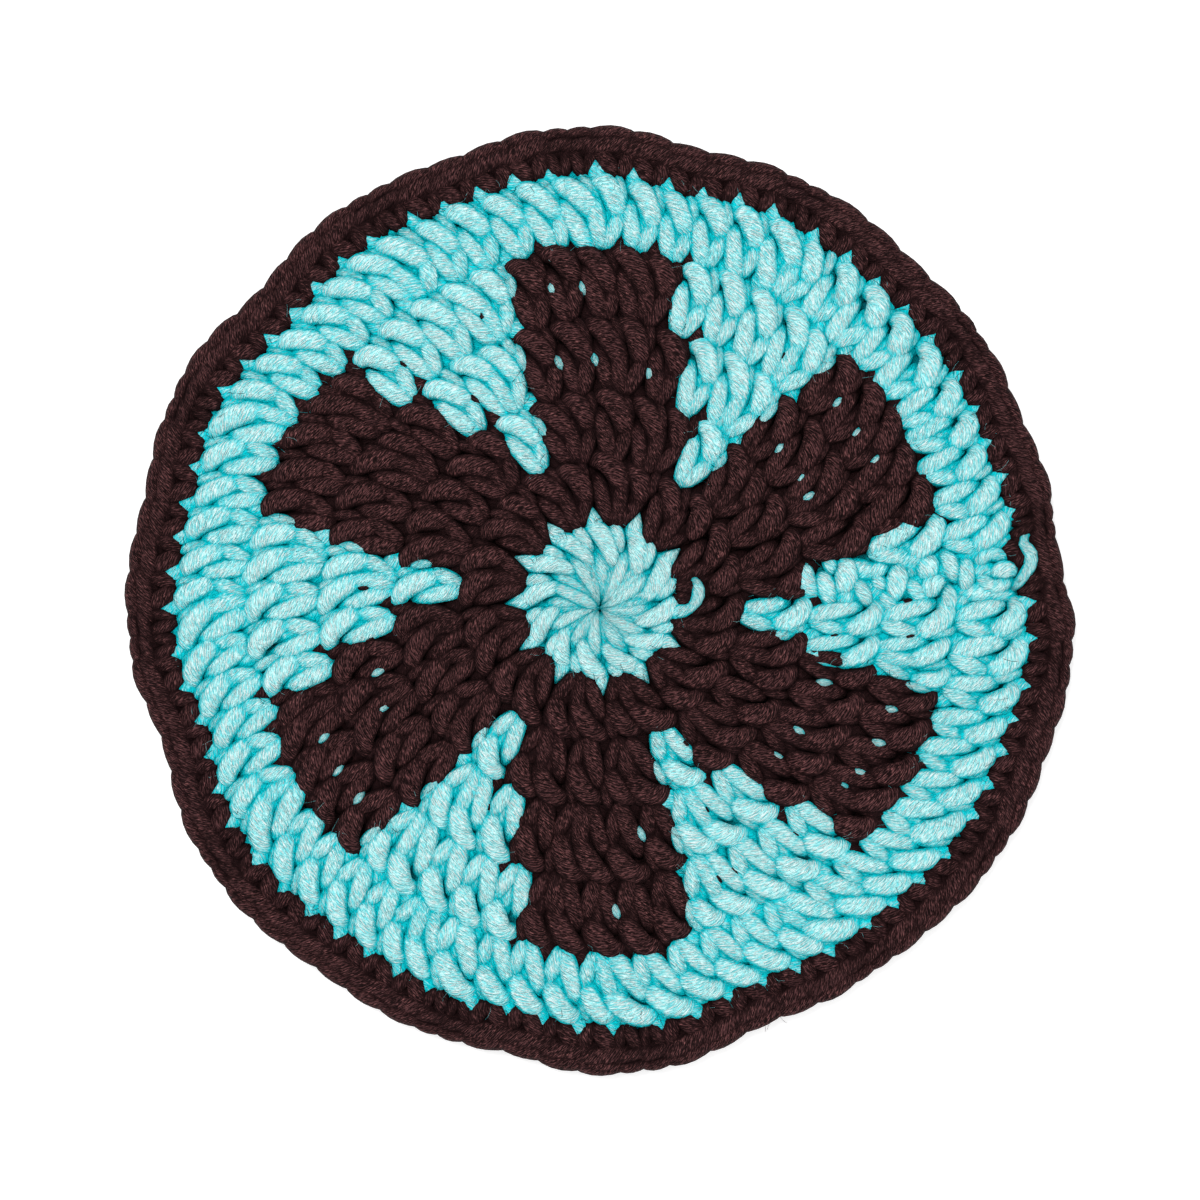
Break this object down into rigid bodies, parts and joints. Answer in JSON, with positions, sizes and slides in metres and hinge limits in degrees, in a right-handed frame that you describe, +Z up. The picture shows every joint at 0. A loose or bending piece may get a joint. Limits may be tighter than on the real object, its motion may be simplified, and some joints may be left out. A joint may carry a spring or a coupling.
{
  "type": "crochet coaster",
  "caption": "Flat round crochet coaster in thick cotton yarn, a six-petal flower in two colours inside a plain ring and a chain-stitch edging.",
  "frame": {"origin": "middle of the underside, which lies on the table", "axes": "+Z up through the thickness, +Y towards the top petal of the flower, +X to the right seen from above"},
  "size_m": [0.1194, 0.1196, 0.0043],
  "materials": {
    "dark_yarn": "matt spun cotton yarn, dark brown",
    "light_yarn": "matt spun cotton yarn, light aqua"
  },
  "bodies": {
    "root": {"mat": "dark_yarn"}
  },
  "joints": []
}
